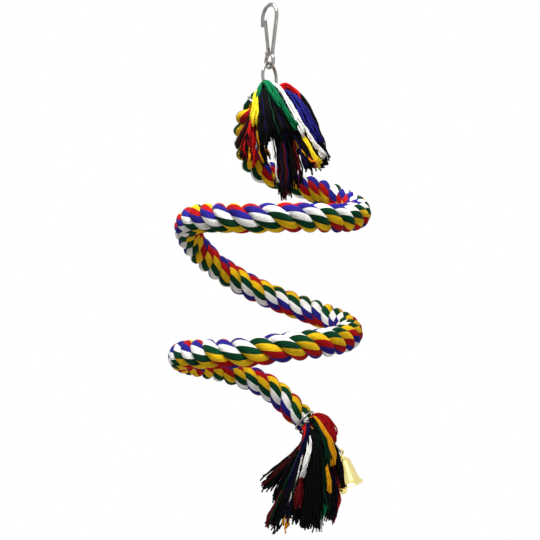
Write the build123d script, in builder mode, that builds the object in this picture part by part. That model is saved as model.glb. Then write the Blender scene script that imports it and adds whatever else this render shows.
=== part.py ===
from build123d import *
import os
from itertools import pairwise
from math import acos, atan2, cos, degrees, pi, radians, sin

# Spiral rope bird perch: cotton rope laid over a bendable wire, hung from a snap hook, with a bell below.
# Millimetres. The origin is the inside top of the hook's bow, where a cage bar lies, and +Z is up.
# +X is to the right and +Y away from whoever faces the perch.

# Rope, its core wire and the coil that it is bent into
ROPE_DIAMETER = 20.0
ROPE_STRAIGHT_END = 8.0
CORE_WIRE = 3.0
CORE_CLEARANCE = 0.15
COIL_RADIUS = 62.0
COIL_CENTRE = -0.3
COIL_FORWARD = 11.0
COIL_DRIFT_PER_QUARTER = -0.75
COIL_TOP = -154.6
ROUTE_SAMPLES = 400
# Each quarter turn in order, from the right: how far it bulges, how far it falls, and its slope at its start
COIL_BULGES = (3.0, 0.0, -3.8, 0.0, 0.0, 0.0, -2.3)
COIL_FALLS = (8.2, 5.8, 49.0, 25.7, 8.8, 10.8, 26.9)
COIL_SLOPES = (16.3, 2.8, 21.8, 23.0, 10.2, 8.7, 13.8)
HEAD_FALL = 34.0
HEAD_SLOPE = 20.0
SHOULDER = (-17.5, 17.0, -88.0)
SHOULDER_HEADING = (-0.06, 0.75, -0.66)
TAIL_BACK_SLOPE = 26.0
TAIL_TURN = 27.0
TAIL_FALL = 22.8
TAIL_SLOPE = 40.0
TAIL_STRAIGHT_END = 12.0

# Snap hook, bent from round wire in one plane
HOOK_TURN = -55.0
HOOK_WIRE = 3.0
HOOK_BOW_RADIUS = 9.2
HOOK_DROP = 45.5
HOOK_EYE_RADIUS = 4.8
HOOK_EYE_OPEN = 35.0
HOOK_WAIST_RADIUS = 2.5
HOOK_NOSE = 13.2
TANG_LENGTH = 4.2
TANG_THICKNESS = 1.3
TANG_RADIUS = 1.5
GATE_DIAMETER = 3.0
GATE_TOP = 8.6
GATE_CLEARANCE = 0.3
GATE_EYE_RADIUS = 1.9
GATE_EYE_WIDTH = 3.4
GATE_SLOT_DEPTH = 3.4
GATE_TIP_SHARE = 0.25
FORK_CLEARANCE = 0.15
RIVET_DIAMETER = 1.1
RIVET_FIT = 0.03
RIVET_HEAD_RADIUS = 1.05
RIVET_HEAD_HEIGHT = 0.5
RIVET_ROUND_SHARE = 0.8
SPRING_WIRE = 0.3
SPRING_RADIUS = 0.45
SPRING_CURLS = 6
SPRING_PITCH = 1.1
PLUNGER_DIAMETER = 1.2
PLUNGER_LENGTH = 3.2
PLUNGER_CLEARANCE = 0.1

# Hanging ring, clamp rings and the wire eyes
RING_TURN = 62.0
RING_OUTER = 24.0
RING_WIRE = 2.6
LINK_CLEARANCE = 0.4
EYE_TURN = 250.0
TOP_LEG = 8.0
TOP_LEAN = 34.0
CLAMP_WIRE = 1.8
CLAMP_BITE = 1.5
CLAMP_INSET = 4.0
CLAMP_CLEARANCE = 0.25

# Tassels: the three rope strands opened out into locks of yarn
LOCK_ROOT_WIDTH = 3.4
LOCK_ROOT_THICKNESS = 4.0
LOCK_THICKNESS = 7.5
LOCK_GAP = 3.0
LOCK_RISE = 4.0
LOCK_FLARE = 35.0
LOCK_SECTIONS = 12
LOCK_CROWDING = 1.4
LOCK_OPEN_SHARE = 0.7
LOCK_TIP_TAPER = 0.4
LOCK_CORNER_SHARE = 0.4
UPPER_LOCK_ARCH = 0.3
# Each upper lock: compass heading, hanging length, spread at the tip, width when spread
UPPER_LOCKS = {
    "upper_left_lock": (212.0, 46.0, 1.0, 10.0),
    "upper_front_lock": (286.0, 44.0, 2.0, 8.0),
    "upper_middle_lock": (319.0, 70.0, 6.0, 9.0),
    "upper_right_lock": (350.0, 56.0, 24.0, 11.0),
    "upper_outer_lock": (24.0, 47.0, 30.0, 13.0),
}
# Each lower lock: place round the rope's end, tip from the rope's end, width when spread
LOWER_LOCKS = {
    "lower_right_lock": (25.0, (18.5, -20.5, -77.5), 11.0),
    "lower_front_lock": (75.0, (2.5, -22.5, -83.5), 12.0),
    "lower_middle_lock": (122.0, (-14.5, -13.5, -87.5), 12.0),
    "lower_left_lock": (168.0, (-29.5, -0.5, -81.5), 11.0),
    "lower_outer_lock": (215.0, (-37.5, 11.5, -51.5), 10.0),
}
LOWER_LOCK_REACH = 10.0
LOWER_LOCK_DROOP = 0.25

# Chain and bell
CHAIN_WIRE = 1.6
CHAIN_LENGTH = 16.2
CHAIN_WIDTH = 7.6
CHAIN_TURN = 9.0
UPPER_LINK_DIP = 30.0
LOWER_LINK_DIP = 53.0
BOTTOM_LEG = 7.0
BOTTOM_EYE_RADIUS = 3.4
BELL_LEAN = 14.0
BELL_MOUTH_RADIUS = 12.0
BELL_WAIST_RADIUS = 9.4
BELL_WAIST_DROP = 17.6
BELL_CROWN_RADIUS = 5.8
BELL_CROWN_FALL = 3.0
BELL_HEIGHT = 23.0
BELL_LIP = 0.8
BELL_WALL = 0.6
BELL_LOOP_WIRE = 1.6
BELL_LOOP_RADIUS = 2.2
BELL_STEM = 1.6
STEM_CLEARANCE = 0.05
HANGER_WIRE = 1.2
HANGER_RADIUS = 1.7
CLAPPER_WIRE = 1.1
CLAPPER_EYE_RADIUS = 1.6
CLAPPER_DROP = 22.6
CLAPPER_RADIUS = 3.6

UP = Vector(0, 0, 1)
ROPE_RADIUS = ROPE_DIAMETER / 2


def compass(turn):
    """Level direction at an angle from +X."""
    return Vector(cos(radians(turn)), sin(radians(turn)), 0)


def biarc_middle(start, heading, end, end_heading):
    """Point where two arcs meet that leave one station and reach the next along their headings."""
    chord = end - start
    both = heading + end_heading
    a = 2 * (1 - heading.dot(end_heading))
    b = 2 * chord.dot(both)
    c = chord.dot(chord)
    reach = (-b + (b * b + 4 * a * c) ** 0.5) / (2 * a) if a > 1e-9 else c / b
    return (start + end) * 0.5 + (heading - end_heading) * (reach / 2)


def add_biarc(start, heading, end, end_heading):
    """Two tangent arcs from one station to the next, drawn in the open BuildLine."""
    middle = biarc_middle(start, heading, end, end_heading)
    first = TangentArc(start, middle, tangent=heading)
    TangentArc(middle, end, tangent=first % 1)


def save(piece, name):
    """Label a finished piece and write it as its own node."""
    piece.label = name
    export_step(piece, f"parts/{name}.step")


def wire_tube(line, diameter):
    """Round wire swept along an open line."""
    with BuildPart() as wire:
        with BuildSketch(Plane(origin=line @ 0, z_dir=line % 0)):
            Circle(diameter / 2)
        sweep(path=line)
    return wire.part


os.makedirs("parts", exist_ok=True)

# Snap hook: nose, bow, limb and waist run on into the lower eye, which ends in a flat tang
hook_along = compass(HOOK_TURN)
hook_plane = Plane(origin=(0, 0, 0), x_dir=hook_along, z_dir=hook_along.cross(UP))
bow_centre = Vector(0, HOOK_WIRE / 2 - HOOK_BOW_RADIUS)
eye_centre = Vector(0, HOOK_EYE_RADIUS - HOOK_DROP)
eye_side = Vector(cos(radians(HOOK_EYE_OPEN)), sin(radians(HOOK_EYE_OPEN)))
waist_centre = eye_centre + eye_side * (HOOK_EYE_RADIUS + HOOK_WAIST_RADIUS)
bow_to_waist = waist_centre - bow_centre
limb_square = atan2(bow_to_waist.Y, bow_to_waist.X) + acos(
    (HOOK_BOW_RADIUS + HOOK_WAIST_RADIUS) / bow_to_waist.length
)
limb_side = Vector(cos(limb_square), sin(limb_square))
eye_end = eye_centre + Vector(-eye_side.X, eye_side.Y) * HOOK_EYE_RADIUS
tang_heading = Vector(eye_side.Y, eye_side.X)
hinge = eye_end + tang_heading * TANG_LENGTH
hinge_plane = Plane(
    origin=hook_plane.from_local_coords(hinge), x_dir=hook_plane.x_dir, z_dir=hook_plane.z_dir
)
fork_half = GATE_EYE_WIDTH / 2

with BuildPart() as hook_body:
    nose_end = Vector(-HOOK_BOW_RADIUS, -HOOK_NOSE)
    nose_top = bow_centre - Vector(HOOK_BOW_RADIUS, 0)
    limb_top = bow_centre + limb_side * HOOK_BOW_RADIUS
    limb_foot = waist_centre - limb_side * HOOK_WAIST_RADIUS
    eye_start = eye_centre + eye_side * HOOK_EYE_RADIUS
    with BuildLine(hook_plane) as hook_line:
        Line(tuple(nose_end), tuple(nose_top))
        CenterArc(tuple(bow_centre), HOOK_BOW_RADIUS, 180, degrees(limb_square) - 180)
        Line(tuple(limb_top), tuple(limb_foot))
        CenterArc(tuple(waist_centre), HOOK_WAIST_RADIUS, 180 + degrees(limb_square),
                  HOOK_EYE_OPEN - degrees(limb_square))
        CenterArc(tuple(eye_centre), HOOK_EYE_RADIUS, HOOK_EYE_OPEN, -180 - 2 * HOOK_EYE_OPEN)
    hook_path = hook_line.wire()
    with BuildSketch(Plane(origin=hook_path @ 0, z_dir=hook_path % 0)):
        Circle(HOOK_WIRE / 2)
    sweep(path=hook_path)
    tang_root = eye_end - tang_heading * (TANG_RADIUS / 2)
    tang_angle = degrees(atan2(tang_heading.Y, tang_heading.X))
    with BuildSketch(hook_plane):
        with Locations(tuple((tang_root + hinge) * 0.5)):
            SlotCenterToCenter((hinge - tang_root).length, 2 * TANG_RADIUS, rotation=tang_angle)
    extrude(amount=TANG_THICKNESS / 2, both=True)
    with BuildSketch(hinge_plane):
        Circle(RIVET_DIAMETER / 2 + RIVET_FIT)
    extrude(amount=TANG_THICKNESS, both=True, mode=Mode.SUBTRACT)
save(hook_body.part, "hook_body")

# Gate: a bar forked round the tang, hollow for its spring, whose tip rests inside the nose
gate_tip = Vector(-HOOK_BOW_RADIUS + (HOOK_WIRE + GATE_DIAMETER) / 2 + GATE_CLEARANCE, -GATE_TOP)
gate_heading = hook_plane.from_local_coords(gate_tip) - hinge_plane.origin
gate_length = gate_heading.length
gate_plane = Plane(origin=hinge_plane.origin, x_dir=hinge_plane.z_dir, z_dir=gate_heading)
plunger_start = TANG_RADIUS + PLUNGER_CLEARANCE
spring_start = plunger_start + PLUNGER_LENGTH + SPRING_WIRE / 2
spring_length = SPRING_CURLS * SPRING_PITCH
bore_end = spring_start + spring_length + SPRING_WIRE / 2 + PLUNGER_CLEARANCE

with BuildPart() as hook_gate:
    with BuildSketch(gate_plane):
        Circle(GATE_DIAMETER / 2)
    extrude(amount=gate_length)
    gate_rim = hook_gate.edges().sort_by(Axis(gate_plane.origin, gate_plane.z_dir))[-1]
    fillet(gate_rim, GATE_DIAMETER * GATE_TIP_SHARE)
    with BuildSketch(hinge_plane):
        Circle(GATE_EYE_RADIUS)
    extrude(amount=fork_half, both=True)
    with BuildSketch(gate_plane.offset(-2 * GATE_EYE_RADIUS)):
        Rectangle(TANG_THICKNESS + 2 * FORK_CLEARANCE, 4 * GATE_EYE_RADIUS)
    extrude(amount=2 * GATE_EYE_RADIUS + GATE_SLOT_DEPTH, mode=Mode.SUBTRACT)
    with BuildSketch(gate_plane):
        Circle(PLUNGER_DIAMETER / 2 + PLUNGER_CLEARANCE)
    extrude(amount=bore_end, mode=Mode.SUBTRACT)
    with BuildSketch(hinge_plane):
        Circle(RIVET_DIAMETER / 2 + RIVET_FIT)
    extrude(amount=GATE_EYE_WIDTH, both=True, mode=Mode.SUBTRACT)
save(hook_gate.part, "hook_gate")

with BuildPart() as gate_rivet:
    with BuildSketch(hinge_plane):
        Circle(RIVET_DIAMETER / 2)
    extrude(amount=fork_half, both=True)
    with BuildSketch(hinge_plane.offset(fork_half), hinge_plane.offset(-fork_half - RIVET_HEAD_HEIGHT)):
        Circle(RIVET_HEAD_RADIUS)
    extrude(amount=RIVET_HEAD_HEIGHT)
    hinge_axis = Axis(hinge_plane.origin, hinge_plane.z_dir)
    head_rims = gate_rivet.edges().filter_by(GeomType.CIRCLE).group_by(hinge_axis)
    fillet([head_rims[0][0], head_rims[-1][0]], RIVET_HEAD_HEIGHT * RIVET_ROUND_SHARE)
save(gate_rivet.part, "gate_rivet")

with BuildPart() as gate_plunger:
    with BuildSketch(gate_plane.offset(plunger_start)):
        Circle(PLUNGER_DIAMETER / 2)
    extrude(amount=PLUNGER_LENGTH)
save(gate_plunger.part, "gate_plunger")

spring_plane = gate_plane.offset(spring_start)
half_turns = []
for half_turn in range(2 * SPRING_CURLS + 1):
    outward = spring_plane.x_dir * cos(pi * half_turn)
    sideways = spring_plane.y_dir * cos(pi * half_turn)
    climb = spring_plane.z_dir * (SPRING_PITCH / 2)
    point = spring_plane.origin + outward * SPRING_RADIUS + climb * half_turn
    half_turns.append((point, (sideways * (pi * SPRING_RADIUS) + climb).normalized()))
with BuildLine() as spring_line:
    for (point, heading), (next_point, next_heading) in pairwise(half_turns):
        add_biarc(point, heading, next_point, next_heading)
save(wire_tube(spring_line.wire(), SPRING_WIRE), "gate_spring")

# Hanging ring, threaded on the hook's eye
ring_radius = (RING_OUTER - RING_WIRE) / 2
ring_top = -HOOK_DROP + (HOOK_WIRE + RING_WIRE) / 2 + LINK_CLEARANCE
ring_along = compass(RING_TURN)
ring_axis = UP.cross(ring_along)
ring_bar = Vector(0, 0, ring_top - 2 * ring_radius)
with BuildPart() as hanging_ring:
    with Locations(Plane(origin=ring_bar + UP * ring_radius, z_dir=ring_axis)):
        Torus(ring_radius, RING_WIRE / 2)
save(hanging_ring.part, "hanging_ring")

# Route of the rope's middle, from its top end below the ring to its lower end
top_heading = ring_axis * sin(radians(TOP_LEAN)) - UP * cos(radians(TOP_LEAN))
top_square = ring_axis * cos(radians(TOP_LEAN)) + UP * sin(radians(TOP_LEAN))
top_eye_radius = (RING_WIRE + CORE_WIRE) / 2 + LINK_CLEARANCE
rope_top = ring_bar + top_square * top_eye_radius + top_heading * TOP_LEG


def coil_point(quarters, fall, bulge=0):
    """Middle of the rope, a number of quarter turns past the coil's first right-hand point, and fallen."""
    centre = Vector(COIL_CENTRE + COIL_DRIFT_PER_QUARTER * quarters, -COIL_FORWARD, COIL_TOP - fall)
    return centre + compass(-90 * quarters) * (COIL_RADIUS + bulge)


def coil_heading(quarters, slope):
    """Heading of the rope there, level along the turn and down by its slope."""
    return compass(-90 - 90 * quarters) * cos(radians(slope)) - UP * sin(radians(slope))


stations = [
    (rope_top + top_heading * ROPE_STRAIGHT_END, top_heading),
    (Vector(SHOULDER), Vector(SHOULDER_HEADING).normalized()),
    (coil_point(-1, -HEAD_FALL), coil_heading(-1, HEAD_SLOPE)),
]
fallen = 0
for quarter, (bulge, fall, slope) in enumerate(zip(COIL_BULGES, COIL_FALLS, COIL_SLOPES)):
    stations.append((coil_point(quarter, fallen, bulge), coil_heading(quarter, slope)))
    fallen += fall
coil_end = len(COIL_FALLS)
tail_quarters = coil_end + TAIL_TURN / 90
stations.append((coil_point(coil_end, fallen), coil_heading(coil_end, TAIL_BACK_SLOPE)))
stations.append((coil_point(tail_quarters, fallen + TAIL_FALL), coil_heading(tail_quarters, TAIL_SLOPE)))
last_bend, end_heading = stations[-1]
rope_end = last_bend + end_heading * TAIL_STRAIGHT_END

with BuildLine() as route:
    Line(rope_top, stations[0][0])
    for (point, heading), (next_point, next_heading) in pairwise(stations):
        add_biarc(point, heading, next_point, next_heading)
    Line(last_bend, rope_end)
rope_path = route.wire()
rope_length = rope_path.length
bends = [edge.radius for edge in route.edges().filter_by(GeomType.CIRCLE)]
print(f"rope length {rope_length:.1f}, tightest bend {min(bends):.1f}")
samples = [rope_path @ (i / ROUTE_SAMPLES) for i in range(ROUTE_SAMPLES + 1)]
half_turn_apart = round(ROUTE_SAMPLES * pi * COIL_RADIUS / rope_length)
gaps = [(p - q).length for i, p in enumerate(samples) for q in samples[i + half_turn_apart:]]
print(f"least gap of the rope to itself {min(gaps) - ROPE_DIAMETER:.1f}")

# Clamp rings, each drawn tight round the rope just short of its end
clamp_radius = ROPE_RADIUS + CLAMP_WIRE / 2 - CLAMP_BITE
top_clamp_plane = Plane(origin=rope_path @ (CLAMP_INSET / rope_length),
                        z_dir=rope_path % (CLAMP_INSET / rope_length))
bottom_clamp_plane = Plane(origin=rope_path @ (1 - CLAMP_INSET / rope_length),
                           z_dir=rope_path % (1 - CLAMP_INSET / rope_length))
for name, plane in (("top_clamp_ring", top_clamp_plane), ("bottom_clamp_ring", bottom_clamp_plane)):
    with BuildPart() as clamp_ring:
        with Locations(plane):
            Torus(clamp_radius, CLAMP_WIRE / 2)
    save(clamp_ring.part, name)

# Laid rope, hollow for its core and nipped in under the clamp rings
core_bore = CORE_WIRE + 2 * CORE_CLEARANCE
with BuildPart() as laid_rope:
    with BuildSketch(Plane(origin=rope_top, z_dir=top_heading)):
        Circle(ROPE_RADIUS)
        Circle(core_bore / 2, mode=Mode.SUBTRACT)
    sweep(path=rope_path)
    tube_volume = laid_rope.part.volume
    with Locations(top_clamp_plane, bottom_clamp_plane):
        Torus(clamp_radius, CLAMP_WIRE / 2 + CLAMP_CLEARANCE, mode=Mode.SUBTRACT)
rope_section = pi * (ROPE_RADIUS**2 - (core_bore / 2) ** 2)
print(f"rope volume over section times length {tube_volume / (rope_section * rope_length):.4f}")
save(laid_rope.part, "laid_rope")

# Core wire, turned into an eye round the ring at the top and round the chain's first link at the bottom
chain_out = compass(CHAIN_TURN)
upper_heading = chain_out * cos(radians(UPPER_LINK_DIP)) - UP * sin(radians(UPPER_LINK_DIP))
lower_heading = chain_out * cos(radians(LOWER_LINK_DIP)) - UP * sin(radians(LOWER_LINK_DIP))
swing_axis = UP.cross(chain_out)
upper_link_square = upper_heading.cross(swing_axis)
bottom_eye_axis = (upper_link_square - end_heading * upper_link_square.dot(end_heading)).normalized()
bottom_inward = bottom_eye_axis.cross(end_heading)
bottom_leg_end = rope_end + end_heading * BOTTOM_LEG
bottom_eye = bottom_leg_end + bottom_inward * BOTTOM_EYE_RADIUS
bottom_side = end_heading.cross(UP).normalized()
bottom_up = bottom_side.cross(end_heading)
top_eye_plane = Plane(origin=ring_bar, x_dir=top_square, z_dir=top_square.cross(top_heading))
bottom_eye_plane = Plane(
    origin=bottom_eye, x_dir=bottom_inward * -1, z_dir=end_heading.cross(bottom_inward)
)
with BuildLine() as core_line:
    half_eye = radians(EYE_TURN) / 2
    open_end = Vector(cos(2 * half_eye), -sin(2 * half_eye)) * top_eye_radius
    eye_back = Vector(cos(half_eye), -sin(half_eye)) * top_eye_radius
    top_leg_start = ring_bar + top_square * top_eye_radius
    ThreePointArc(top_eye_plane.from_local_coords(open_end), top_eye_plane.from_local_coords(eye_back),
                  top_leg_start)
    Line(top_leg_start, rope_top)
    add(route.edges())
    Line(rope_end, bottom_leg_end)
    curl_back = Vector(cos(half_eye), sin(half_eye)) * BOTTOM_EYE_RADIUS
    curl_end = Vector(cos(2 * half_eye), sin(2 * half_eye)) * BOTTOM_EYE_RADIUS
    ThreePointArc(bottom_leg_end, bottom_eye_plane.from_local_coords(curl_back),
                  bottom_eye_plane.from_local_coords(curl_end))
core_path = core_line.wire()
core_wire = wire_tube(core_path, CORE_WIRE)
core_section = pi * (CORE_WIRE / 2) ** 2
print(f"core volume over section times length {core_wire.volume / (core_section * core_path.length):.4f}")
save(core_wire, "core_wire")


def lock_of_yarn(root, end_face, outward, bend_end, tip, across, width):
    """One lock: it flares from the rope's end, bends over and hangs, lofted through rounded sections."""
    leaving = end_face * cos(radians(LOCK_FLARE)) + outward * sin(radians(LOCK_FLARE))
    bend_start = root + leaving * LOCK_RISE
    with BuildLine() as line:
        Line(root, bend_start)
        add_biarc(bend_start, leaving, bend_end, (tip - bend_end).normalized())
        Line(bend_end, tip)
    fall = line.wire()
    with BuildPart() as lock:
        for step in range(LOCK_SECTIONS + 1):
            along = (step / LOCK_SECTIONS) ** LOCK_CROWDING
            opened = sin(min(along / LOCK_OPEN_SHARE, 1) * pi / 2) ** 2
            taper = 1 - LOCK_TIP_TAPER * max(along - LOCK_OPEN_SHARE, 0) / (1 - LOCK_OPEN_SHARE)
            section_width = (LOCK_ROOT_WIDTH + (width - LOCK_ROOT_WIDTH) * opened) * taper
            thickness = LOCK_ROOT_THICKNESS + (LOCK_THICKNESS - LOCK_ROOT_THICKNESS) * opened
            section_thickness = thickness * taper
            normal = end_face if step == 0 else fall % along
            with BuildSketch(Plane(origin=fall @ along, x_dir=across, z_dir=normal)):
                RectangleRounded(section_width, section_thickness, section_thickness * LOCK_CORNER_SHARE)
        loft(ruled=True)
    return lock.part


# Upper tassel: locks rise from the rope's top end beside the ring, turn over and hang
root_radius = ROPE_RADIUS - LOCK_ROOT_THICKNESS / 2 - CLAMP_BITE / 2
hang_radius = ROPE_RADIUS + LOCK_GAP + LOCK_THICKNESS / 2
for name, (turn, hang, spread, width) in UPPER_LOCKS.items():
    outward = compass(turn)
    on_end = (outward - top_heading * outward.dot(top_heading)).normalized()
    root = rope_top + on_end * root_radius
    side = rope_top + outward * (hang_radius + spread * UPPER_LOCK_ARCH) - UP * (hang * UPPER_LOCK_ARCH)
    tip = rope_top + outward * (hang_radius + spread) - UP * hang
    save(lock_of_yarn(root, top_heading * -1, on_end, side, tip, UP.cross(outward), width), name)

# Lower tassel: locks leave the rope's lower end, droop and hang
for name, (turn, tip_offset, width) in LOWER_LOCKS.items():
    around = bottom_up * cos(radians(turn)) + bottom_side * sin(radians(turn))
    root = rope_end + around * root_radius
    tip = rope_end + Vector(tip_offset)
    knee = root + end_heading * LOWER_LOCK_REACH + around * LOCK_GAP
    bend_end = knee + (tip - knee) * LOWER_LOCK_DROOP
    save(lock_of_yarn(root, end_heading, around, bend_end, tip, around.cross(end_heading), width), name)

# Chain of two oval links from the core wire's lower eye to the bell
link_reach = CHAIN_LENGTH - CHAIN_WIRE
wire_step = CHAIN_WIRE + LINK_CLEARANCE


def chain_link(upper_end, heading, flat_normal):
    """Oval link from the middle of the wire at its upper end, its heading and the square to its plane."""
    end_radius = (CHAIN_WIDTH - CHAIN_WIRE) / 2
    half = link_reach / 2 - end_radius
    plane = Plane(origin=upper_end + heading * (link_reach / 2), x_dir=heading, z_dir=flat_normal)
    with BuildPart() as link:
        with BuildLine(plane) as outline:
            Line((-half, end_radius), (half, end_radius))
            ThreePointArc((half, end_radius), (half + end_radius, 0), (half, -end_radius))
            Line((half, -end_radius), (-half, -end_radius))
            ThreePointArc((-half, -end_radius), (-half - end_radius, 0), (-half, end_radius))
        with BuildSketch(Plane(origin=outline.line @ 0, z_dir=outline.line % 0)):
            Circle(CHAIN_WIRE / 2)
        sweep()
    return link.part


in_eye = (upper_heading - bottom_eye_axis * upper_heading.dot(bottom_eye_axis)).normalized()
eye_contact = bottom_eye + in_eye * BOTTOM_EYE_RADIUS
upper_link_start = eye_contact - in_eye * ((CORE_WIRE + CHAIN_WIRE) / 2 + LINK_CLEARANCE)
upper_link_end = upper_link_start + upper_heading * link_reach
lower_link_start = upper_link_end - lower_heading * wire_step
lower_link_end = lower_link_start + lower_heading * link_reach
save(chain_link(upper_link_start, upper_heading, swing_axis), "upper_chain_link")
save(chain_link(lower_link_start, lower_heading, swing_axis.cross(lower_heading)), "lower_chain_link")

# Bell: a turned shell, with a loop whose stem goes through the crown and carries a smaller loop inside
bell_right = Vector(cos(radians(BELL_LEAN)), 0, sin(radians(BELL_LEAN)))
bell_up = Vector(-sin(radians(BELL_LEAN)), 0, cos(radians(BELL_LEAN)))
loop_top = lower_link_end + bell_up * ((CHAIN_WIRE + BELL_LOOP_WIRE) / 2 + LINK_CLEARANCE)
loop_bottom = loop_top - bell_up * (2 * BELL_LOOP_RADIUS)
bell_crown = loop_bottom - bell_up * (BELL_LOOP_WIRE / 2)
hanger_top = bell_crown - bell_up * (BELL_WALL + HANGER_WIRE / 2)
hanger_bottom = hanger_top - bell_up * (2 * HANGER_RADIUS)
bell_plane = Plane(origin=bell_crown, x_dir=bell_right, z_dir=bell_right.cross(bell_up))
bell_axis = Axis(bell_crown, bell_up)

with BuildPart() as bell_shell:
    with BuildSketch(bell_plane):
        with BuildLine():
            stem_hole = BELL_STEM / 2 + STEM_CLEARANCE
            shoulder = (BELL_CROWN_RADIUS, -BELL_CROWN_FALL)
            waist = (BELL_WAIST_RADIUS, -BELL_WAIST_DROP)
            lip_top = (BELL_MOUTH_RADIUS, BELL_LIP - BELL_HEIGHT)
            inner_lip = (BELL_MOUTH_RADIUS - BELL_WALL, -BELL_HEIGHT)
            inner_waist = (BELL_WAIST_RADIUS - BELL_WALL, -BELL_WAIST_DROP)
            inner_shoulder = (BELL_CROWN_RADIUS - BELL_WALL, -BELL_CROWN_FALL - BELL_WALL)
            side_fall = (Vector(waist) - Vector(shoulder)).normalized()
            Polyline((stem_hole, -BELL_WALL), (stem_hole, 0), shoulder, waist)
            TangentArc(waist, lip_top, tangent=side_fall)
            Polyline(lip_top, (BELL_MOUTH_RADIUS, -BELL_HEIGHT), inner_lip)
            TangentArc(inner_waist, inner_lip, tangent=side_fall)
            Polyline(inner_waist, inner_shoulder, (stem_hole, -BELL_WALL))
        make_face()
    revolve(axis=bell_axis)
save(bell_shell.part, "bell_shell")

with BuildPart() as bell_loop:
    with Locations(Plane(origin=(loop_top + loop_bottom) * 0.5, x_dir=bell_up, z_dir=swing_axis)):
        Torus(BELL_LOOP_RADIUS, BELL_LOOP_WIRE / 2)
    with BuildSketch(Plane(origin=hanger_top, z_dir=bell_up)):
        Circle(BELL_STEM / 2)
    extrude(amount=(loop_bottom - hanger_top).length)
    with Locations(Plane(origin=(hanger_top + hanger_bottom) * 0.5, x_dir=bell_up, z_dir=bell_right)):
        Torus(HANGER_RADIUS, HANGER_WIRE / 2)
save(bell_loop.part, "bell_loop")

# Clapper: a wire with an eye round the hanger, and a ball drawn on to its lower end
clapper_eye = hanger_bottom + UP * ((HANGER_WIRE + CLAPPER_WIRE) / 2 + LINK_CLEARANCE - CLAPPER_EYE_RADIUS)
ball_centre = clapper_eye - UP * CLAPPER_DROP
with BuildPart() as clapper_wire:
    with Locations(Plane(origin=clapper_eye, x_dir=UP, z_dir=(0, 1, 0))):
        Torus(CLAPPER_EYE_RADIUS, CLAPPER_WIRE / 2)
    with BuildSketch(Plane(origin=ball_centre, z_dir=UP)):
        Circle(CLAPPER_WIRE / 2)
    extrude(amount=CLAPPER_DROP - CLAPPER_EYE_RADIUS)
save(clapper_wire.part, "clapper_wire")

with BuildPart() as clapper_ball:
    with Locations(ball_centre):
        Sphere(CLAPPER_RADIUS)
    with BuildSketch(Plane(origin=ball_centre, z_dir=UP)):
        Circle(CLAPPER_WIRE / 2 + STEM_CLEARANCE)
    extrude(amount=2 * CLAPPER_RADIUS, mode=Mode.SUBTRACT)
save(clapper_ball.part, "clapper_ball")

places = {
    "gate hinge": hinge_plane.origin, "hook eye": Vector(0, 0, -HOOK_DROP), "ring bar": ring_bar,
    "rope top": rope_top, "rope end": rope_end, "upper link": eye_contact, "lower link": lower_link_start,
    "bell": lower_link_end, "clapper": hanger_bottom,
}
for place, point in places.items():
    print(f"{place} at {point.X:.3f}, {point.Y:.3f}, {point.Z:.3f}")
ways = {
    "gate axis": hook_plane.z_dir, "hook plane": hook_along, "ring plane": ring_along,
    "chain axis": swing_axis,
}
for axis, way in ways.items():
    print(f"{axis} {way.X:.4f}, {way.Y:.4f}, {way.Z:.4f}")
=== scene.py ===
import math

import bpy
import numpy as np
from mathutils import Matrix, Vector
from mathutils.geometry import interpolate_bezier


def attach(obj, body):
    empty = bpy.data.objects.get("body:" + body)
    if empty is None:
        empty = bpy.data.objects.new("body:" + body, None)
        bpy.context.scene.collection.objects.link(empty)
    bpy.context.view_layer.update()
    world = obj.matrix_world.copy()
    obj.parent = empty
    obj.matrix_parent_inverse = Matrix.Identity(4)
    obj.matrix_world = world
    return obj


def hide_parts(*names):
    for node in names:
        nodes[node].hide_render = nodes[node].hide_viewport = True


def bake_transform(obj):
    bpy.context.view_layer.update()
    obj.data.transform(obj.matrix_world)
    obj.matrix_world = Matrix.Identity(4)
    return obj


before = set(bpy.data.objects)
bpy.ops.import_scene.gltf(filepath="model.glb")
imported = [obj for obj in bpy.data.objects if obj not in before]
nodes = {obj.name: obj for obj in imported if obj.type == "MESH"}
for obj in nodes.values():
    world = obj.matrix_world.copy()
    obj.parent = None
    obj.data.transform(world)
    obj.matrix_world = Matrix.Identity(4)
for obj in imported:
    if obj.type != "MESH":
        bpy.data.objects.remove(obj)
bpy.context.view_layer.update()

# Snap hook and hanging ring
# Bent and upset from round steel wire, with a forked gate riveted on, then barrel plated in nickel.
# The plate is smooth and warm grey, and use leaves it with rubbing marks and slightly dull patches.
MM = 0.001


def linear(code):
    """Linear colour with full alpha from an sRGB hex code."""
    shares = [int(code[i:i + 2], 16) / 255 for i in (1, 3, 5)]
    return [s / 12.92 if s <= 0.04045 else ((s + 0.055) / 1.055) ** 2.4 for s in shares] + [1]


def add_node(owner, kind, inputs, **settings):
    """Add a shader node with its settings, and set or link its inputs."""
    tree = owner.node_tree
    node = tree.nodes.new("ShaderNode" + kind)
    for name, value in settings.items():
        setattr(node, name, value)
    for socket, value in inputs.items():
        if isinstance(value, bpy.types.NodeSocket):
            tree.links.new(value, node.inputs[socket])
        else:
            node.inputs[socket].default_value = value
    return node


def new_material(name):
    """A node material with no nodes in it yet."""
    material = bpy.data.materials.new(name)
    material.use_nodes = True
    material.node_tree.nodes.clear()
    return material


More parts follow.
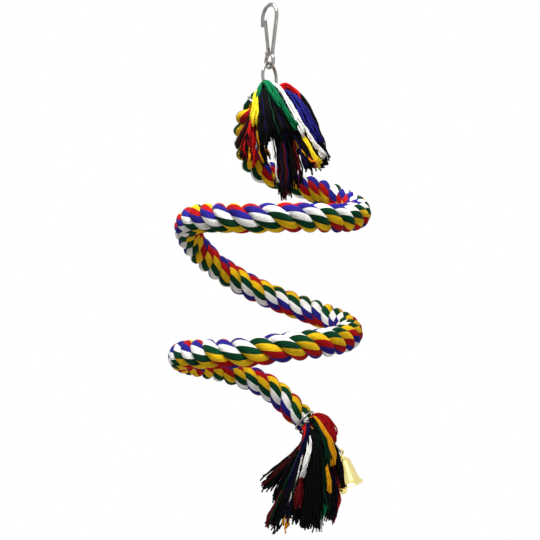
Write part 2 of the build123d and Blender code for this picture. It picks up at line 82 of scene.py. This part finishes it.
def rubbed_metal(name, bright, dull, smooth, rough, patch, rub):
    """Plated, drawn or polished metal with dull patches and rubbing marks, drawn coarse enough to show."""
    metal = new_material(name)
    place = add_node(metal, "TexCoord", {}).outputs["Object"]
    patches = add_node(metal, "TexNoise", {"Vector": place, "Scale": 1 / patch, "Detail": 3})
    rubs = add_node(metal, "TexNoise", {"Vector": place, "Scale": 1 / rub, "Detail": 5, "Roughness": 0.7})
    tint = add_node(metal, "Mix", {"Factor": patches.outputs["Fac"], "A": linear(bright), "B": linear(dull)},
                    data_type="RGBA")
    shine = add_node(metal, "MapRange", {"Value": rubs.outputs["Fac"], "From Min": 0.3, "From Max": 0.7,
                                         "To Min": smooth, "To Max": rough})
    marks = add_node(metal, "Bump", {"Height": rubs.outputs["Fac"], "Strength": 0.12, "Distance": 0.05 * MM})
    shader = add_node(metal, "BsdfPrincipled", {
        "Base Color": tint.outputs["Result"], "Metallic": 1.0, "Roughness": shine.outputs["Result"],
        "Normal": marks.outputs["Normal"]})
    add_node(metal, "OutputMaterial", {"Surface": shader.outputs["BSDF"]})
    return metal


def dress(material, *names):
    """Give CAD nodes their finish."""
    for name in names:
        nodes[name].data.materials.clear()
        nodes[name].data.materials.append(material)


nickel_plate = rubbed_metal("nickel_plate_barrel_finished", "#a8a5a1", "#6c6a67", smooth=0.10, rough=0.26,
                            patch=6 * MM, rub=0.7 * MM)
dress(nickel_plate, "hook_body", "hook_gate", "gate_rivet", "hanging_ring")

# Gate spring and plunger
# Hard drawn steel wire and a turned pin, hidden in the gate's bore.
# They are left bare and lightly oiled, which gives a half-dull grey.
spring_steel = rubbed_metal("drawn_spring_steel", "#8d8c8a", "#6f6d6a", smooth=0.25, rough=0.45,
                            patch=3 * MM, rub=0.4 * MM)
dress(spring_steel, "gate_spring", "gate_plunger")


def add_piece(name, mesh):
    """Put a finished mesh in the scene as a piece of its own."""
    piece = bpy.data.objects.new(name, mesh)
    bpy.context.scene.collection.objects.link(piece)
    return piece


zinc = rubbed_metal("galvanised_steel_wire", "#b9bbbb", "#8f9190", smooth=0.28, rough=0.5,
                    patch=2.5 * MM, rub=0.5 * MM)
core = add_piece("bendable_core", nodes["core_wire"].data.copy())
core.data.materials.clear()
core.data.materials.append(zinc)
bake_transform(core)
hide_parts("core_wire")

# Laid rope
# Three thick strands of dyed cotton laid up right handed over the core and bent into a coil.
# Each strand is a bundle of yarns in five colours, twisted the other way, so its bands run along the rope.
ROPE_RADIUS = 10.3 * MM
STRAND_RADIUS = 4.7 * MM
STRAND_CENTRE = ROPE_RADIUS - STRAND_RADIUS
LAY = 36 * MM
COUNTER_TWIST = 2.115
STRAND_SHIFTS = (0.215, 0.415, 0.215)
# How far the strands are rolled, judged from the photograph: millimetres along the rope, and turns
STRAND_ROLLS = ((0, -0.2), (40, -0.25), (70, -0.4), (105, -0.3), (145, -0.05), (190, 0), (380, 0),
                (430, 0.16), (465, 0.06), (515, -0.14), (560, -0.02), (600, 0), (790, 0), (830, -0.1),
                (868, -0.28), (905, -0.4), (934, -0.42))
ROPE_RINGS = 780
STRAND_COLUMNS = 40
YARN_WIDTH = 1.1 * MM

RING_BAR = Vector((0, 0, -63.7 * MM))
RING_TURN = 62
TOP_LEAN = 34
TOP_EYE = 3.2 * MM
TOP_LEG = 8 * MM
STRAIGHT_END = 8 * MM
TAIL_STRAIGHT_END = 12 * MM
SHOULDER = Vector((-17.5, 17, -88)) * MM
SHOULDER_HEADING = Vector((-0.06, 0.75, -0.66)).normalized()
COIL_RADIUS = 62 * MM
COIL_CENTRE = Vector((-0.3, -11, -154.6)) * MM
COIL_DRIFT = -0.75 * MM
# Each quarter turn from the right: how far it bulges and falls in millimetres, and its first slope in degrees.
# They repeat the solid's route. A search fitted them, and TAIL_FALL, to the photograph's outline.
COIL_BULGES = (3, 0, -3.8, 0, 0, 0, -2.3)
COIL_FALLS = (8.2, 5.8, 49, 25.7, 8.8, 10.8, 26.9)
COIL_SLOPES = (16.3, 2.8, 21.8, 23, 10.2, 8.7, 13.8)
HEAD_FALL = 34
HEAD_SLOPE = 20
TAIL_BACK_SLOPE = 26
TAIL_QUARTERS = 7.3
TAIL_FALL = 22.8
TAIL_SLOPE = 40
CLAMP_INSET = 4 * MM
CLAMP_NIP = 0.17
CLAMP_REACH = 3.5 * MM
ROUTE_STEPS = 64
NEARLY_STRAIGHT = 0.01
# A direction that neither the rope nor any yarn starts along
SLANT = (0.3, -0.5, 0.8)


def compass(turn):
    """Level direction at an angle in degrees from +X."""
    return Vector((math.cos(math.radians(turn)), math.sin(math.radians(turn)), 0))


def sloping(heading, slope):
    """The heading, turned down by a slope in degrees."""
    return heading * math.cos(math.radians(slope)) - Vector((0, 0, math.sin(math.radians(slope))))


def coil_station(quarters, fall, slope, bulge=0):
    """Middle and heading of the rope a number of quarter turns past the coil's first right-hand point."""
    centre = COIL_CENTRE + Vector((COIL_DRIFT * quarters, 0, -fall * MM))
    reach = COIL_RADIUS + bulge * MM
    return centre + compass(-90 * quarters) * reach, sloping(compass(-90 - 90 * quarters), slope)


ring_axis = compass(RING_TURN + 90)
top_heading = sloping(ring_axis, 90 - TOP_LEAN)
top_square = ring_axis * math.cos(math.radians(TOP_LEAN)) + Vector((0, 0, math.sin(math.radians(TOP_LEAN))))
rope_top = RING_BAR + top_square * TOP_EYE + top_heading * TOP_LEG
stations = [(rope_top, top_heading), (rope_top + top_heading * STRAIGHT_END, top_heading),
            (SHOULDER, SHOULDER_HEADING), coil_station(-1, -HEAD_FALL, HEAD_SLOPE)]
fallen = 0
for quarter, (bulge, fall, slope) in enumerate(zip(COIL_BULGES, COIL_FALLS, COIL_SLOPES)):
    stations.append(coil_station(quarter, fallen, slope, bulge))
    fallen += fall
stations.append(coil_station(len(COIL_FALLS), fallen, TAIL_BACK_SLOPE))
stations.append(coil_station(TAIL_QUARTERS, fallen + TAIL_FALL, TAIL_SLOPE))
last_bend, end_heading = stations[-1]
rope_end = last_bend + end_heading * TAIL_STRAIGHT_END
stations.append((rope_end, end_heading))

# Between two stations the route is as round as an arc with the same bend
route = []
for (point, heading), (next_point, next_heading) in zip(stations, stations[1:]):
    bend = heading.angle(next_heading)
    share = math.tan(bend / 4) / math.sin(bend / 2) * 2 / 3 if bend > NEARLY_STRAIGHT else 1 / 3
    handle = (next_point - point).length * share
    route += interpolate_bezier(point, point + heading * handle, next_point - next_heading * handle,
                                next_point, ROUTE_STEPS)[:-1]


def evenly(points, count):
    """The same line with its points evenly spaced, and their distances along it."""
    steps = np.linalg.norm(np.diff(points, axis=0), axis=1)
    reached = np.concatenate([[0], np.cumsum(steps)])
    along = np.linspace(0, reached[-1], count)
    return np.stack([np.interp(along, reached, points[:, axis]) for axis in range(3)], axis=1), along


def unit(vectors):
    """Vectors in rows, each made one long."""
    return vectors / np.linalg.norm(vectors, axis=1, keepdims=True)


def steady_sides(points):
    """Two square directions along a line that turn with it but never twist about it."""
    ahead = unit(np.gradient(points, axis=0))
    side = np.cross(ahead[0], SLANT)
    sides = []
    for direction in ahead:
        side = side - direction * side.dot(direction)
        side = side / np.linalg.norm(side)
        sides.append(side)
    return np.array(sides), np.cross(ahead, sides)


def tube_faces(rings, columns, first):
    """Faces of a closed tube whose vertices run round each ring in turn."""
    ring, column = np.meshgrid(np.arange(rings - 1), np.arange(columns), indexing="ij")
    beside = (column + 1) % columns
    corners = [ring * columns + column, ring * columns + beside,
               (ring + 1) * columns + beside, (ring + 1) * columns + column]
    walls = np.stack(corners, axis=-1).reshape(-1, 4) + first
    bottom = list(range(first + columns - 1, first - 1, -1))
    top = list(range(first + (rings - 1) * columns, first + rings * columns))
    return walls.tolist(), [bottom, top]


def cotton(name, dye, shade, thread, bloom, gloss):
    """Dyed cotton yarn: matt, with a soft bloom of loose fibre, and a ridge for each thread."""
    yarn = new_material(name)
    place = add_node(yarn, "TexCoord", {}).outputs["Object"]
    across = add_node(yarn, "Attribute", {}, attribute_name="thread").outputs["Fac"]
    ridge = add_node(yarn, "Math", {0: across, 1: math.tau}, operation="MULTIPLY")
    round_ridge = add_node(yarn, "Math", {0: ridge.outputs[0]}, operation="COSINE")
    fuzz = add_node(yarn, "TexNoise", {"Vector": place, "Scale": 1 / thread, "Detail": 4, "Roughness": 0.7})
    dyeing = add_node(yarn, "TexNoise", {"Vector": place, "Scale": 1 / (9 * thread), "Detail": 2})
    patchy = add_node(yarn, "MapRange", {"Value": dyeing.outputs["Fac"], "From Min": 0.35, "From Max": 0.7})
    # Painted shade: where the thread attribute gives the threads' places, the grooves between them are
    # darkened towards the shade colour.
    groove_shade = add_node(yarn, "MapRange", {"Value": round_ridge.outputs[0], "From Min": -1.0, "From Max": 0.2,
                                         "To Min": 0.45, "To Max": 0.0})
    darker = add_node(yarn, "Math", {0: patchy.outputs["Result"], 1: 0.35, 2: groove_shade.outputs["Result"]},
                      operation="MULTIPLY_ADD", use_clamp=True)
    tint = add_node(yarn, "Mix", {"Factor": darker.outputs[0], "A": linear(dye), "B": linear(shade)},
                    data_type="RGBA")
    threads = add_node(yarn, "Bump", {"Height": round_ridge.outputs[0], "Strength": 0.5,
                                      "Distance": 0.2 * thread})
    fibres = add_node(yarn, "Bump", {"Height": fuzz.outputs["Fac"], "Strength": 0.5, "Distance": 0.3 * thread,
                                     "Normal": threads.outputs["Normal"]})
    shader = add_node(yarn, "BsdfPrincipled", {
        "Base Color": tint.outputs["Result"], "Roughness": 0.85, "Sheen Weight": bloom,
        "Sheen Roughness": 0.5, "Specular IOR Level": gloss, "Normal": fibres.outputs["Normal"]})
    add_node(yarn, "OutputMaterial", {"Surface": shader.outputs["BSDF"]})
    return yarn


def dyed_piece(name, vertices, faces, dyed, colours):
    """A smooth piece made of yarns, with one of its dyed cottons on each face."""
    mesh = bpy.data.meshes.new(name)
    mesh.from_pydata(np.concatenate(vertices).tolist(), [], faces)
    for material in dyed:
        mesh.materials.append(material)
    mesh.polygons.foreach_set("material_index", colours)
    mesh.shade_smooth()
    return add_piece(name, mesh)


# Each dye and its shade colour, a darker copy of it: painted into the grooves between threads as shade, and
# also used for the uneven dyeing.
DYES = {
    "blue": ("#28238a", "#0d0c34"), "red": ("#b81216", "#5c090c"), "yellow": ("#f2c61c", "#a8720c"),
    "green": ("#083f24", "#02170d"), "white": ("#f8f7f3", "#bfbcb3"),
}
END_DYE = list(DYES).index("green")
FIBRE_BLOOM = 0.02
LAID_GLOSS = 0.05
cottons = [cotton(f"laid_cotton_{colour}", *dye, YARN_WIDTH, FIBRE_BLOOM, LAID_GLOSS)
           for colour, dye in DYES.items()]

line, distance = evenly(np.array([*route, rope_end]), ROPE_RINGS)
side, other_side = steady_sides(line)
from_clamp = np.minimum(distance, distance[-1] - distance) - CLAMP_INSET
squeeze = (1 - CLAMP_NIP * np.exp(-(from_clamp / CLAMP_REACH) ** 2))[:, None]
columns = np.arange(STRAND_COLUMNS) / STRAND_COLUMNS
roll = np.interp(distance / MM, *zip(*STRAND_ROLLS))[:, None]
vertices, faces, colours, threads = [], [], [], []
threads_round = round(math.tau * STRAND_RADIUS / YARN_WIDTH)
for strand, shift in enumerate(STRAND_SHIFTS):
    turn = math.tau * (distance / LAY + strand / 3)[:, None]
    outward = np.cos(turn) * side + np.sin(turn) * other_side
    middle = line + outward * squeeze * STRAND_CENTRE
    ahead = unit(np.gradient(middle, axis=0))
    across = np.cross(ahead, outward)
    yarn_turn = math.tau * (columns[None, :] + shift + roll) - COUNTER_TWIST * turn
    section = np.cos(yarn_turn)[..., None] * outward[:, None] + np.sin(yarn_turn)[..., None] * across[:, None]
    first = len(vertices) * ROPE_RINGS * STRAND_COLUMNS
    vertices.append((middle[:, None] + section * squeeze[:, None] * STRAND_RADIUS).reshape(-1, 3))
    walls, ends = tube_faces(ROPE_RINGS, STRAND_COLUMNS, first)
    faces += walls + ends
    face_columns = np.tile(np.arange(STRAND_COLUMNS), ROPE_RINGS - 1)
    colours += (face_columns * len(cottons) // STRAND_COLUMNS).tolist() + [END_DYE] * len(ends)
    left = face_columns * threads_round / STRAND_COLUMNS
    right = left + threads_round / STRAND_COLUMNS
    threads += np.stack([left, right, right, left], axis=1).ravel().tolist()
    threads += [0.0] * len(ends) * STRAND_COLUMNS

rope = dyed_piece("laid_rope_strands", vertices, faces, cottons, colours)
rope.data.attributes.new("thread", "FLOAT", "CORNER").data.foreach_set("value", threads)
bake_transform(rope)
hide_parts("laid_rope")

# Clamp rings
# Nickel-plated wire rings, closed tight round the rope at each end so that it cannot unlay further.
dress(nickel_plate, "top_clamp_ring", "bottom_clamp_ring")

# Tassels
# Past each clamp the strands are opened out into single yarns, which fan out and hang under their own weight.
# The ends are cut by hand, so their lengths differ, and each yarn keeps a little of the rope's crimp.
TASSEL_YARN = 0.65 * MM
YARN_SIDES = 6
YARN_RINGS = 22
CRIMP = 0.55 * MM
CRIMP_LENGTH = 14 * MM
ROOT_REACH = 6 * MM
ROOT_SPREAD = 3.5 * MM
CUT_SPREAD = 3.5 * MM
CUT_UNEVEN = (-0.5, 1)
# The crimp is a little longer one way than the other
CROSS_CRIMP = 0.8
# A yarn strays by up to this many times its lock's figure, and by less upright.
# The shares of that are for the two places it hangs through and for its tip.
STRAY_LIMIT = 2.4
STRAY_SHAPE = (1, 1, 0.7)
STRAY_SHARES = (0.5, 0.8, 1.0)
LOOSE_THREAD = 0.7 * MM
LOOSE_GLOSS = 0.04
# The darkest yarns, near black and dark copies of blue, green and red, are painted shade: they stand for yarns
# hanging in the tassels' shaded mass.
LOOSE_DYES = {
    "blue": ("#25247c", "#121140"), "red": ("#cc181b", "#860e12"), "lemon": ("#f6da2c", "#cfa01a"),
    "amber": ("#f0a616", "#b06c0e"), "crimson": ("#ac1318", "#640a0e"),
    "green": ("#0d7044", "#054024"), "white": ("#f7f6f2", "#cfccc4"), "navy": ("#12123c", "#06061a"),
    "wine": ("#6a0f15", "#2e070b"), "bottle": ("#06301e", "#02120a"), "black": ("#080808", "#030303"),
}
loose_cottons = [cotton(f"loose_cotton_{colour}", *dye, LOOSE_THREAD, FIBRE_BLOOM, LOOSE_GLOSS)
                 for colour, dye in LOOSE_DYES.items()]
colour_of = {colour: index for index, colour in enumerate(LOOSE_DYES)}

# The photograph's width and focal length in pixels, and the camera's place
PICTURE = 540
FOCUS = 945
CAMERA = Vector((0.4, -711, -197.9)) * MM


def sighted(place):
    """The point that the camera sees at a pixel of the photograph, at a depth in millimetres."""
    across, down, depth = place
    pixel = (depth * MM - CAMERA.y) / FOCUS
    return Vector((CAMERA.x + (across - PICTURE / 2) * pixel, depth * MM,
                   CAMERA.z - (down - PICTURE / 2) * pixel))


def through(start, crest, hang, end):
    """Even points along a smooth curve through four places, and their distances along it."""
    first_handle = (18 * crest - 9 * hang + 2 * end - 5 * start) / 6
    second_handle = (18 * hang - 9 * crest + 2 * start - 5 * end) / 6
    corners = [Vector(corner) for corner in (start, first_handle, second_handle, end)]
    return evenly(np.array(interpolate_bezier(*corners, YARN_RINGS)), YARN_RINGS)


def yarn_skin(points, left, up):
    """The vertices of a yarn's surface, ring by ring along its line."""
    turn = math.tau * np.arange(YARN_SIDES) / YARN_SIDES
    ring = np.cos(turn)[None, :, None] * left[:, None] + np.sin(turn)[None, :, None] * up[:, None]
    return (points[:, None] + ring * TASSEL_YARN).reshape(-1, 3)


def tassel(name, root, root_heading, locks, seed):
    """Each lock's yarns leave their side of the rope's end, hang through two places and end at a tip."""
    chance = np.random.default_rng(seed)
    spread_side, spread_up = steady_sides(np.array([root, root + root_heading]))
    vertices, faces, colours = [], [], []
    for dyes, count, *places, stray in locks:
        dyes = dyes.split()
        places = [sighted(place) for place in places]
        leaning = places[0] - root
        leaning -= root_heading * leaning.dot(root_heading)
        leaning *= min(1, ROOT_REACH / leaning.length)
        for yarn in range(count):
            spin = chance.uniform(0, math.tau)
            out = math.sqrt(chance.uniform(0, 1)) * ROOT_SPREAD
            start = np.array(root + leaning)
            start += out * (math.cos(spin) * spread_side[0] + math.sin(spin) * spread_up[0])
            loose = np.clip(chance.normal(0, 1, 3), -STRAY_LIMIT, STRAY_LIMIT) * STRAY_SHAPE
            crest, hang, end = [np.array(place) + loose * stray * MM * share
                                for place, share in zip(places, STRAY_SHARES)]
            end[2] += chance.uniform(*CUT_UNEVEN) * CUT_SPREAD
            points, along = through(start, crest, hang, end)
            left, up = steady_sides(points)
            wave = math.tau * (along / CRIMP_LENGTH + chance.uniform(0, 1))[:, None]
            loosened = (along / along[-1])[:, None]
            points = points + CRIMP * loosened * (np.sin(wave) * left + np.cos(CROSS_CRIMP * wave) * up)
            walls, ends = tube_faces(YARN_RINGS, YARN_SIDES, len(vertices) * YARN_RINGS * YARN_SIDES)
            vertices.append(yarn_skin(points, left, up))
            faces += walls + ends
            colours += [colour_of[dyes[yarn % len(dyes)]]] * (len(walls) + len(ends))
    return dyed_piece(name, vertices, faces, loose_cottons, colours)


# Each lock: dyes, yarns, the two places it hangs through, its tip, and its yarns' stray in millimetres.
# Places were judged from the photograph: pixels across and down, then a chosen depth in millimetres.
# Locks in the near-black and dark-copy dyes are painted shade, where the tassels' inner yarns hang in shade.
UPPER_LOCKS = [
    ("green", 22, (266.5, 81, -10), (278, 97, -18), (296, 128, -20), 0.8),
    ("green", 20, (263.8, 82.8, -11), (270.5, 91.5, -17), (281, 106, -19), 1.0),
    ("green", 10, (261, 85, -9), (258.8, 89.5, -13), (258.6, 97, -14.5), 0.6),
    ("black", 28, (262, 91, -8), (263, 110, -17), (264, 144, -17), 2.1),
    ("black black navy", 28, (263, 90, -9), (267, 110, -17.5), (272, 137, -18), 2.1),
    ("black bottle black", 28, (265, 89, -9), (271.5, 110, -17.5), (280, 138, -18), 2.1),
    ("black black navy", 28, (267, 89, -9), (276.5, 110, -17), (287, 138, -17), 2.1),
    ("black", 24, (270, 89, -8), (282, 112, -15), (294, 138, -15), 1.5),
    ("black", 20, (274, 88, -8), (285, 107, -13), (299, 138, -14), 1.3),
    ("black wine navy black", 44, (267, 92, -6), (279, 132, -13), (284.5, 194, -13), 2.8),
    ("red wine", 8, (267, 92, -4), (280, 132, -9), (285.5, 198, -11), 1.2),
    ("black wine black", 32, (269, 91, -6), (286, 132, -12), (296, 184, -11), 3.0),
    ("navy black", 26, (271, 91, -5), (293, 130, -12), (309, 172, -10), 2.2),
    ("lemon", 20, (257, 92.5, -8), (253.8, 107, -14), (253, 124, -14), 1.6),
    ("lemon", 14, (259, 93.5, -9), (258.5, 107, -15), (258.5, 124, -15), 1.4),
    ("red", 10, (256, 107, -7), (250.5, 121, -11), (254.5, 143, -12), 1.1),
    ("wine black red", 24, (256, 106, -6), (251, 127, -10), (252, 160, -9), 1.9),
    ("amber", 5, (257, 107, -5), (252, 136, -9), (249.5, 164, -10), 0.8),
    ("red", 5, (257, 107, -5), (254, 136, -9), (254.5, 165, -10), 0.6),
    ("black wine", 14, (255, 108, -4), (246, 127, -7), (238.5, 148, -8), 1.3),
    ("red wine", 8, (255, 108, -4), (247, 128, -7), (243, 153, -8), 0.9),
    ("black", 10, (255, 109, -3), (248, 131, -6), (241.5, 158, -7), 1.1),
    ("black black amber", 22, (258, 102, -7), (259.5, 132, -13), (265, 163, -11), 1.6),
    ("black", 18, (259, 97, -8), (260.5, 126, -15), (262, 152, -14), 1.3),
    ("white", 20, (274.5, 84.5, -8), (289.5, 105, -13), (303, 135, -14), 0.9),
    ("white", 8, (277, 86, -7), (298, 117, -12), (325.5, 156, -8), 0.7),
    ("red", 46, (282.5, 86.3, -4), (294.5, 92.3, -4), (301, 110, 2), 1.9),
    ("navy blue", 22, (284, 91, -5), (295, 105, -9), (311, 135, -9), 1.6),
    ("blue", 30, (288, 93.5, -5), (303, 110, -9), (317, 141, -8), 1.9),
    ("black", 28, (293, 92, -1), (309.5, 112, -4), (326.5, 163, 3), 1.3),
    ("black", 22, (279, 90, -5), (300, 127, -9), (321, 167, -7), 1.6),
    ("lemon", 8, (273, 91, -6), (297, 127, -12.5), (320, 168, -11), 0.7),
    ("red red amber", 3, (270, 91, -6), (292, 136, -13), (317, 165, -13), 0.5),
    ("white", 1, (264, 92, -9), (271, 139, -19), (278, 186, -16), 0.3),
    ("black white navy", 18, (284, 93, 4), (300, 113, 12), (316, 158, 20), 2.4),
]
upper_tassel = tassel("upper_tassel", rope_top, -top_heading, UPPER_LOCKS, seed=7)
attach(upper_tassel, "perch")
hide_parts("upper_left_lock", "upper_front_lock", "upper_middle_lock", "upper_right_lock",
            "upper_outer_lock")

LOWER_LOCKS = [
    ("crimson", 34, (319.5, 414.5, 33), (330, 422.5, 29), (334, 440, 26), 1.0),
    ("crimson", 24, (318.8, 415.8, 33), (328.3, 424.5, 28.5), (333.5, 440.5, 26), 0.9),
    ("crimson", 30, (318, 417, 33), (326.5, 426.5, 28), (333, 441, 26), 1.0),
    ("amber", 26, (317.5, 420, 32), (328, 439, 24), (332, 464, 22), 1.2),
    ("amber", 14, (317, 436, 29), (327.5, 471, 18), (328.5, 492, 19), 0.9),
    ("bottle bottle black", 36, (316.5, 425, 31), (324, 440, 24), (329, 464, 21), 1.9),
    ("green", 10, (313, 431, 32), (323.5, 475, 22), (322, 517, 16), 1.1),
    ("black", 38, (312, 432, 31), (317, 456, 20), (317, 524, 19), 3.0),
    ("black", 38, (310, 434, 31), (312, 458, 20), (308, 526, 19), 3.0),
    ("black bottle", 30, (313, 432, 31), (321, 457, 20), (323, 508, 18), 2.0),
    ("black", 26, (315, 430, 33), (327, 470, 23), (327.5, 518, 22), 1.6),
    ("white", 24, (310, 437, 27), (308.6, 452, 17), (303, 475, 17), 0.9),
    ("white", 2, (304, 441, 28), (299, 470, 23), (288, 506, 26), 0.3),
    ("navy", 22, (308, 430, 28), (302.5, 451, 26), (292, 481, 30), 1.3),
    ("red", 12, (305, 432, 27), (303.5, 441, 27), (300, 451, 31), 0.6),
    ("black black black black black wine", 56, (303, 447, 38), (286.5, 466, 42), (268, 486, 46), 2.7),
    ("black", 40, (303, 447, 36), (289.5, 473, 37), (277, 499, 41), 3.2),
    ("black bottle black", 46, (304, 448, 35), (290, 485, 34), (275, 526, 37), 2.7),
    ("wine", 18, (303, 451, 36), (284, 489, 35), (267, 524, 38), 1.3),
    ("amber", 12, (303, 451, 38), (293, 492, 37), (286.5, 529, 30), 1.3),
    ("wine", 18, (306, 441, 36), (302, 482, 21), (299, 506, 17), 1.6),
    ("white", 14, (309, 440, 38), (316, 490, 30), (320.5, 529, 20), 1.6),
    ("black", 30, (306, 440, 31), (301, 480, 25), (298, 521, 25), 2.8),
    ("black", 30, (308, 438, 31), (305.5, 475, 24), (303, 525, 24), 2.6),
    ("black navy", 28, (305, 445, 34), (295.5, 482, 30), (290, 514, 32), 2.8),
    ("navy wine black", 26, (314, 428, 32), (332, 466, 30), (332.5, 520, 26), 1.4),
    ("crimson", 6, (316, 428, 34), (333.5, 470, 31), (336.5, 512, 27), 0.6),
    ("black", 30, (321, 428, 31), (335.5, 455, 32), (334.5, 486, 33), 1.4),
]
lower_tassel = tassel("lower_tassel", rope_end, end_heading, LOWER_LOCKS, seed=11)
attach(lower_tassel, "tail")
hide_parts("lower_right_lock", "lower_front_lock", "lower_middle_lock", "lower_left_lock",
            "lower_outer_lock")

# Chain and bell
# Two welded links of plated wire carry a small bell spun from brass sheet, polished to a pale, bright yellow.
# Its loop's stem is riveted through the crown and carries the clapper on a wire.
dress(nickel_plate, "upper_chain_link", "lower_chain_link")
brass = rubbed_metal("polished_lacquered_brass", "#f3e8aa", "#dcc872", smooth=0.08, rough=0.2,
                     patch=5 * MM, rub=0.6 * MM)
dress(brass, "bell_shell", "bell_loop", "clapper_wire", "clapper_ball")

# Studio
# A plain pale floor well below the hanging perch, a soft light above it, and weaker ones before and behind.
FLOOR_DROP = 1.1
FLOOR_REACH = 6


def looked_at(owner):
    """A socket that is 1 on every ray to the eye, straight or by way of metal or glass."""
    path = add_node(owner, "LightPath", {}).outputs
    mirrored = add_node(owner, "Math", {0: path["Is Camera Ray"], 1: path["Is Glossy Ray"]},
                        operation="MAXIMUM")
    every = add_node(owner, "Math", {0: mirrored.outputs[0], 1: path["Is Transmission Ray"]},
                     operation="MAXIMUM")
    return every.outputs[0]


floor_corners = [(across * FLOOR_REACH, along * FLOOR_REACH, -FLOOR_DROP)
                 for across, along in ((-1, -1), (1, -1), (1, 1), (-1, 1))]
floor_mesh = bpy.data.meshes.new("studio_floor")
floor_mesh.from_pydata(floor_corners, [], [(0, 1, 2, 3)])
floor = add_piece("studio_floor", floor_mesh)
paper = new_material("matt_white_paper")
paper_grain = add_node(paper, "TexNoise", {"Scale": 1 / (40 * MM), "Detail": 2})
paper_tint = add_node(paper, "Mix", {"Factor": paper_grain.outputs["Fac"], "A": linear("#fbfbfb"),
                                     "B": linear("#f7f7f7")}, data_type="RGBA")
paper_shader = add_node(paper, "BsdfPrincipled", {"Base Color": paper_tint.outputs["Result"],
                                                  "Roughness": 0.9})
# Round the perch the paper shows its shadow. Further off it goes over into the white background.
spot = add_node(paper, "TexCoord", {}).outputs["Object"]
off_middle = add_node(paper, "VectorMath", {0: spot, 1: (0, 0, -FLOOR_DROP)}, operation="DISTANCE")
fade = add_node(paper, "MapRange", {"Value": off_middle.outputs["Value"], "From Min": 0.25, "From Max": 0.7},
                interpolation_type="SMOOTHSTEP")
whitened = add_node(paper, "Math", {0: fade.outputs["Result"], 1: looked_at(paper)}, operation="MULTIPLY")
paper_white = add_node(paper, "Emission", {"Color": (1, 1, 1, 1), "Strength": 1.0})
paper_surface = add_node(paper, "MixShader", {0: whitened.outputs[0], 1: paper_shader.outputs[0],
                                              2: paper_white.outputs[0]})
add_node(paper, "OutputMaterial", {"Surface": paper_surface.outputs[0]})
floor.data.materials.append(paper)

world = bpy.data.worlds.new("studio")
world.use_nodes = True
world.node_tree.nodes.clear()
soft_light = add_node(world, "Background", {"Color": (1, 1, 1, 1), "Strength": 0.09})
white = add_node(world, "Background", {"Color": (1, 1, 1, 1), "Strength": 1.0})
both = add_node(world, "MixShader", {0: looked_at(world), 1: soft_light.outputs[0], 2: white.outputs[0]})
add_node(world, "OutputWorld", {"Surface": both.outputs[0]})
bpy.context.scene.world = world

LAMP_AIM = Vector((0, 0, -0.2))
# Each lamp's place and width in metres, and its watts
LAMPS = {"top_softbox": ((-0.1, -0.35, 0.85), 0.9, 33), "front_fill": ((0.7, -1.0, 0.1), 0.8, 2),
         "back_fill": ((-0.6, 0.9, 0.3), 0.8, 5)}
for name, (place, size, watts) in LAMPS.items():
    lamp = bpy.data.lights.new(name, "AREA")
    lamp.size = size
    lamp.energy = watts
    softbox = add_piece(name, lamp)
    softbox.location = place
    softbox.rotation_euler = (LAMP_AIM - softbox.location).to_track_quat("-Z", "Y").to_euler()

# Camera
# Level with the middle of the perch and square to its front, as the photograph shows it.
camera = bpy.data.objects.new("camera", bpy.data.cameras.new("camera"))
bpy.context.scene.collection.objects.link(camera)
camera.location = CAMERA
camera.rotation_euler = (math.radians(90), 0, 0)
camera.data.lens = camera.data.sensor_width * FOCUS / PICTURE
bpy.context.scene.camera = camera
bpy.context.scene.view_settings.view_transform = "Standard"
